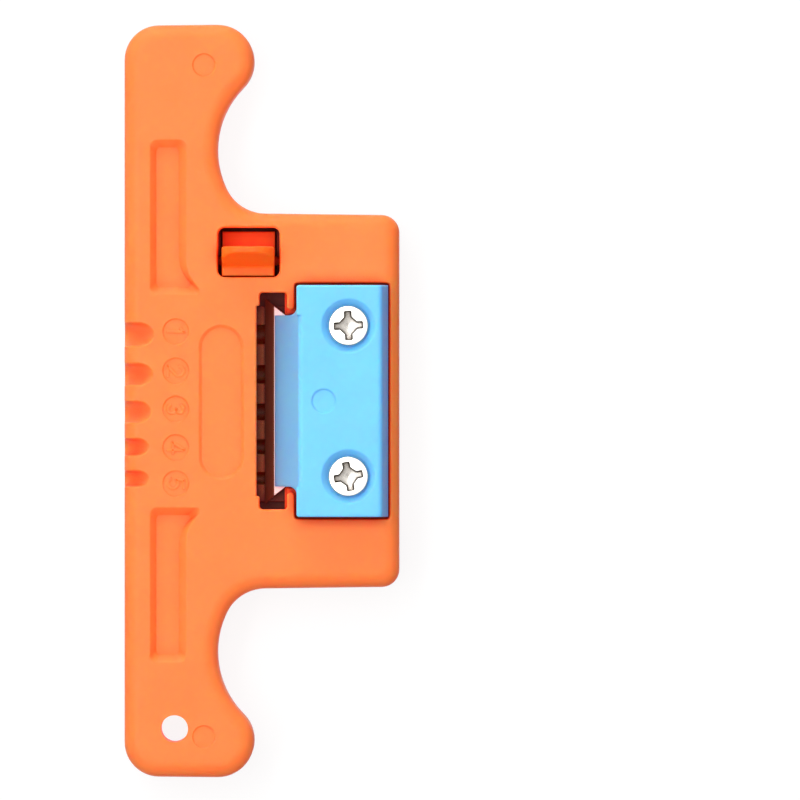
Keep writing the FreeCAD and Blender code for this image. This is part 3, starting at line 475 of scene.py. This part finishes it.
def screw_profile():
    """Half section of a screw without its recess and thread, as five runs of radius and height: a low
    crown that falls off as a power of the radius, a rounded rim, the underside, the shank and the tip."""
    crown = np.concatenate([
        np.linspace(AXIS_GAP, ARM_REACH + ARM_MARGIN, RECESS_ROWS),
        np.linspace(ARM_REACH + ARM_MARGIN + CROWN_STEP, HEAD_RADIUS - HEAD_RIM, CROWN_ROWS),
    ])
    crown_height = HEAD_EDGE + (HEAD_HEIGHT - HEAD_EDGE) * (1 - (crown / HEAD_RADIUS) ** CROWN_POWER)
    bend = np.radians(np.linspace(*RIM_BEND, RIM_ROWS))
    rim = HEAD_RADIUS - HEAD_RIM + HEAD_RIM * np.sin(bend)
    rim_height = crown_height[-1] - RIM_DROP + RIM_DROP * np.cos(bend)
    chamfer_width, chamfer_height = UNDER_CHAMFER
    under = np.array([HEAD_RADIUS, HEAD_RADIUS - chamfer_width, SHANK_RADIUS + SHANK_FILLET])
    under_height = np.array([chamfer_height, 0.0, 0.0])
    shank_height = -np.linspace(SHANK_START, SCREW_LENGTH - TIP_START, SHANK_ROWS)
    shank = np.full(SHANK_ROWS, SHANK_RADIUS)
    tip = np.array([SHANK_RADIUS - step for step in TIP_STEPS] + [AXIS_GAP])
    tip_height = TIP_HEIGHTS - SCREW_LENGTH
    return [
        (crown, crown_height),
        (rim, rim_height),
        (under, under_height),
        (shank, shank_height),
        (tip, tip_height),
    ]


def screw_grid(seat, centre, turn):
    """Surface of a whole screw in two parameters: a turn about its axis, and a run from the middle of
    the recess over the head, under it and down the shank to the tip. The recess sinks a cross with a
    square hub into the low crown, and the thread pushes the shank in and out along a helix."""
    runs = screw_profile()
    angle = np.linspace(0, 2 * math.pi, SCREW_SIDES, endpoint=False)
    radius = np.repeat(np.concatenate([run for run, _ in runs])[:, None], SCREW_SIDES, 1)
    height = np.repeat(np.concatenate([level for _, level in runs])[:, None], SCREW_SIDES, 1)
    crown_rows, rim_rows, under_rows, shank_rows = (len(run) for run, _ in runs[:4])
    crown = radius[:crown_rows]
    a = np.abs(crown * np.cos(angle))
    b = np.abs(crown * np.sin(angle))
    from_arm = np.minimum(a, b)
    along_arm = np.maximum(a, b)
    in_width = np.clip((ARM_HALF_WIDTH - from_arm) / RECESS_WALL + 0.5, 0, 1)
    in_reach = np.clip((ARM_REACH - along_arm) / RECESS_WALL + 0.5, 0, 1)
    in_hub = np.clip((HUB_FLAT - (along_arm + from_arm) / math.sqrt(2)) / RECESS_WALL + 0.5, 0, 1)
    recess = RECESS_DEPTH * (1 - RECESS_RISE * (crown / ARM_REACH) ** RECESS_POWER)
    height[:crown_rows] -= recess * np.maximum(in_width * in_reach, in_hub)
    first = crown_rows + rim_rows + under_rows
    shank_height = runs[3][1][:, None]
    phase = shank_height / THREAD_PITCH - angle / (2 * math.pi)
    flank = np.abs((phase % 1.0) * 2 - 1)
    runout = np.clip((-shank_height - PLAIN_SHANK) / THREAD_RUNOUT, 0, 1)
    cut = np.clip(flank * THREAD_SLOPE - THREAD_FLAT, 0, 1)
    radius[first:first + shank_rows] -= THREAD_DEPTH * cut * runout
    spun = angle + math.radians(turn)
    grid = np.empty((*radius.shape, 3))
    grid[..., 0] = centre[0] + radius * np.cos(spun)
    grid[..., 1] = centre[1] + radius * np.sin(spun)
    grid[..., 2] = seat + height
    return grid


def coil_grid(low, high, centre, radius):
    """Round wire carried along a helix: the height climbs by about one wire's thickness over most of the
    first turn and of the last, so that the end coils close, and evenly through the turns between."""
    steps = int(SPRING_TURNS * STEPS_PER_TURN)
    share = np.linspace(0, 1, steps)
    turn = 2 * math.pi * SPRING_TURNS * share
    middle = np.clip((share * SPRING_TURNS - CLOSED_TURN) / (SPRING_TURNS - 2 * CLOSED_TURN), 0, 1)
    first_turn = np.clip(share * SPRING_TURNS / CLOSED_TURN, 0, 1)
    last_turn = np.clip((share - 1) * SPRING_TURNS / CLOSED_TURN + 1, 0, 1)
    rise = CLOSED_RISE * (first_turn + last_turn)
    open_rise = high - low - 2 * SPRING_WIRE_RADIUS - 2 * CLOSED_RISE
    height = low + SPRING_WIRE_RADIUS + rise + open_rise * middle
    path = np.stack([centre[0] + radius * np.cos(turn), centre[1] + radius * np.sin(turn), height], axis=-1)
    outward = np.stack([np.cos(turn), np.sin(turn), np.zeros(steps)], axis=-1)
    ahead = np.gradient(path, axis=0)
    ahead /= np.linalg.norm(ahead, axis=1, keepdims=True)
    upward = np.cross(ahead, outward)
    ring = np.linspace(0, 2 * math.pi, WIRE_SIDES, endpoint=False)
    section = outward[:, None] * np.cos(ring)[:, None] + upward[:, None] * np.sin(ring)[:, None]
    return path[:, None] + SPRING_WIRE_RADIUS * section


def carry(piece, body, material, replaced=None):
    """Gives a new piece its finish, its body and the node that it stands for."""
    piece.data.materials.append(material)
    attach(piece, body)
    if replaced:
        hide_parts(replaced)


def shows_white(tree):
    """Switch that is 1 for what the camera sees, straight or in a reflection or through glass."""
    ray = add(tree, "LightPath").outputs
    mirrored = {0: ray["Is Glossy Ray"], 1: ray["Is Transmission Ray"]}
    either = add(tree, "Math", mirrored, operation="MAXIMUM")
    switch = {0: ray["Is Camera Ray"], 1: either.outputs["Value"]}
    return add(tree, "Math", switch, operation="MAXIMUM").outputs["Value"]


def white_paper():
    """Paper: grey to the light that it passes on, and to the camera white with a pale shadow."""
    material, tree = new_material("white_paper")
    grey = add(tree, "BsdfDiffuse", {"Color": linear(PAPER_GREY)})
    paper = add(tree, "BsdfDiffuse", {"Color": linear(PAPER_SEEN)})
    glow = add(tree, "Emission", {"Strength": PAPER_LIGHT})
    white = add(tree, "AddShader", {0: paper.outputs[0], 1: glow.outputs[0]})
    seen = {"Fac": shows_white(tree), 1: grey.outputs[0], 2: white.outputs[0]}
    finish_material(tree, add(tree, "MixShader", seen))
    return material


def paper_floor(level):
    """Flat sheet under the object. It takes the object's shadow and gives none, so that it doesn't count
    as a hollow's wall."""
    mesh = bpy.data.meshes.new("paper_floor")
    corners = [(x * FLOOR_REACH, y * FLOOR_REACH, 0) for x, y in ((-1, -1), (1, -1), (1, 1), (-1, 1))]
    mesh.from_pydata(corners, [], [(0, 1, 2, 3)])
    mesh.materials.append(white_paper())
    floor = bpy.data.objects.new("paper_floor", mesh)
    floor.location.z = level
    floor.visible_shadow = False
    bpy.context.scene.collection.objects.link(floor)
    return floor


def studio_world():
    """Even surroundings, bright overhead and dim at the horizon, white to the camera."""
    world = bpy.data.worlds.new("studio")
    world.use_nodes = True
    tree = world.node_tree
    tree.nodes.clear()
    way = add(tree, "SeparateXYZ", {"Vector": add(tree, "TexCoord").outputs["Generated"]})
    sky = add(tree, "MapRange", {
        "Value": way.outputs["Z"],
        "From Max": OVERHEAD_FROM,
        "To Min": HORIZON_LIGHT,
        "To Max": OVERHEAD_LIGHT,
    })
    white = linear("#FFFFFF")
    dome = add(tree, "Background", {"Color": white, "Strength": sky.outputs["Result"]})
    paper = add(tree, "Background", {"Color": white, "Strength": 1.0})
    seen = {"Fac": shows_white(tree), 1: dome.outputs[0], 2: paper.outputs[0]}
    add(tree, "OutputWorld", {"Surface": add(tree, "MixShader", seen).outputs[0]})
    bpy.context.scene.world = world


def softbox(name, place, width, length, power):
    """Rectangular lamp that faces the object."""
    lamp = bpy.data.lights.new(name, "AREA")
    lamp.shape = "RECTANGLE"
    lamp.size = width
    lamp.size_y = length
    lamp.energy = power
    holder = bpy.data.objects.new(name, lamp)
    holder.location = place
    holder.rotation_euler = (-Vector(place)).to_track_quat("-Z", "Y").to_euler()
    holder.visible_camera = False
    bpy.context.scene.collection.objects.link(holder)


def photo_camera(target_height):
    """Camera straight above the photograph's middle, with the frame's width at a given height."""
    data = bpy.data.cameras.new("camera")
    data.sensor_width = SENSOR
    data.lens = SENSOR * CAMERA_HEIGHT / VIEW_WIDTH
    data.clip_end = CAMERA_FAR
    camera = bpy.data.objects.new("camera", data)
    camera.location = (*VIEW_CENTRE, target_height + CAMERA_HEIGHT)
    bpy.context.scene.collection.objects.link(camera)
    bpy.context.scene.camera = camera


# Finishes
body_plastic = moulded_abs(
    "orange_moulded_abs",
    BODY_ORANGE,
    roughness=0.42,
    gloss=0.12,
    depth=4.5 * MM,
    spread=RED_SPREAD,
    glow=RED_GLOW,
    glow_strength=0.25,
    glow_openness=(0.05, 0.4),
    reach=3.0 * MM,
    edge_radius=0.12 * MM,
)
figure_plastic = moulded_abs(
    "orange_moulded_abs_figures",
    FIGURE_ORANGE,
    roughness=0.42,
    gloss=0.12,
    depth=1.0 * MM,
    spread=RED_SPREAD,
    glow=RED_GLOW,
    glow_strength=0.20,
    glow_openness=(0.05, 0.4),
    reach=0.6 * MM,
    edge_radius=0.05 * MM,
)
# The jaw's painted glow is full only in the open, and its painted shade is dark, so that the grooves stay
# darker than the lands between them
jaw_plastic = moulded_abs(
    "orange_moulded_abs_jaw",
    JAW_ORANGE,
    roughness=0.45,
    gloss=0.15,
    depth=0.8 * MM,
    spread=RED_SPREAD,
    glow=RED_GLOW,
    glow_strength=0.25,
    glow_openness=(0.8, 1.0),
    reach=4.0 * MM,
    edge_radius=0.12 * MM,
)
latch_plastic = moulded_abs(
    "orange_moulded_abs_latch",
    LATCH_ORANGE,
    roughness=0.50,
    gloss=0.18,
    depth=3.5 * MM,
    spread=RED_SPREAD,
    glow=RED_GLOW,
    glow_strength=0.16,
    glow_openness=(0.0, 0.4),
    reach=2.5 * MM,
    edge_radius=0.20 * MM,
)
cassette_plastic = moulded_abs(
    "blue_moulded_abs",
    CASSETTE_BLUE,
    roughness=0.36,
    gloss=0.12,
    depth=0.9 * MM,
    spread=BLUE_SPREAD,
    glow=BLUE_GLOW,
    glow_strength=0.45,
    glow_openness=(0.05, 0.4),
    reach=2.5 * MM,
    edge_radius=0.50 * MM,
)
cutting_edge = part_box("blade")[0].x
# The blade's steep faces and honed band are painted dark brown, as a painted reflection of the shaded slot
# wall
blade_steel = drawn_metal(
    "ground_blade_steel",
    "#FFFFFF",
    "#80503E",
    roughness=0.75,
    line_width=0.10 * MM,
    along="x",
    depth=0.004 * MM,
    honed_to=cutting_edge + HONED_BAND,
)
pin_steel = drawn_metal(
    "drawn_stainless_steel",
    "#CFCFCB",
    "#C8C8C4",
    roughness=0.28,
    line_width=0.12 * MM,
    along="x",
    depth=0.004 * MM,
)
spring_steel = drawn_metal(
    "drawn_spring_wire",
    "#B9BCBE",
    "#B2B5B7",
    roughness=0.30,
    line_width=0.08 * MM,
    along="z",
    depth=0.003 * MM,
)
insert_brass = drawn_metal(
    "turned_brass",
    "#D8B35A",
    "#CFA94F",
    roughness=0.30,
    line_width=0.10 * MM,
    along="y",
    depth=0.004 * MM,
)
screw_nickel = bright_nickel("bright_nickel_plate")

finishes = {
    "upper_body": body_plastic,
    "lower_jaw": jaw_plastic,
    "latch_lever": latch_plastic,
    "cassette_cover": cassette_plastic,
    "blade_bed": cassette_plastic,
    "blade": blade_steel,
    "hinge_pin": pin_steel,
    # The latch pin takes the latch's orange with its painted shade, so that its ends read as the shaded
    # gaps beside the lever
    "latch_pin": latch_plastic,
    "latch_spring": spring_steel,
    "cassette_screw_upper": screw_nickel,
    "cassette_screw_lower": screw_nickel,
    "thread_insert_upper": insert_brass,
    "thread_insert_lower": insert_brass,
}
for name, material in finishes.items():
    nodes[name].data.materials.clear()
    nodes[name].data.materials.append(material)

# Raised figures in the size discs
top_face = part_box("upper_body")[1].z
for number, (strokes, y) in enumerate(zip(figure_strokes(), DISC_Y), start=1):
    grids = [raised_stroke(path, (DISC_X, y), top_face - DISC_SINK) for path in strokes]
    carry(tube_mesh("size_figure_%d" % number, grids), "body", figure_plastic)

# Screws
for name, turn in SCREW_TURN.items():
    low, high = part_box("cassette_screw_" + name)
    middle = (low + high) / 2
    grid = screw_grid(low.z + SCREW_LENGTH, (middle.x, middle.y), turn)
    screw = tube_mesh("cross_recess_screw_" + name, [grid], SCREW_SHARP_ANGLE)
    carry(screw, "body", screw_nickel, "cassette_screw_" + name)

# Latch spring
low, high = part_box("latch_spring")
middle = (low + high) / 2
radius = (high.x - low.x) / 2 - SPRING_WIRE_RADIUS
coil = tube_mesh("closed_end_latch_spring", [coil_grid(low.z, high.z, (middle.x, middle.y), radius)])
carry(coil, "jaw", spring_steel, "latch_spring")
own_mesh(coil)

# Floor, light and camera
floor = paper_floor(cad_box[0][2] - FLOOR_GAP)
studio_world()
for lamp in LAMPS:
    softbox(*lamp)
photo_camera(top_face)
bpy.context.scene.view_settings.view_transform = "Standard"
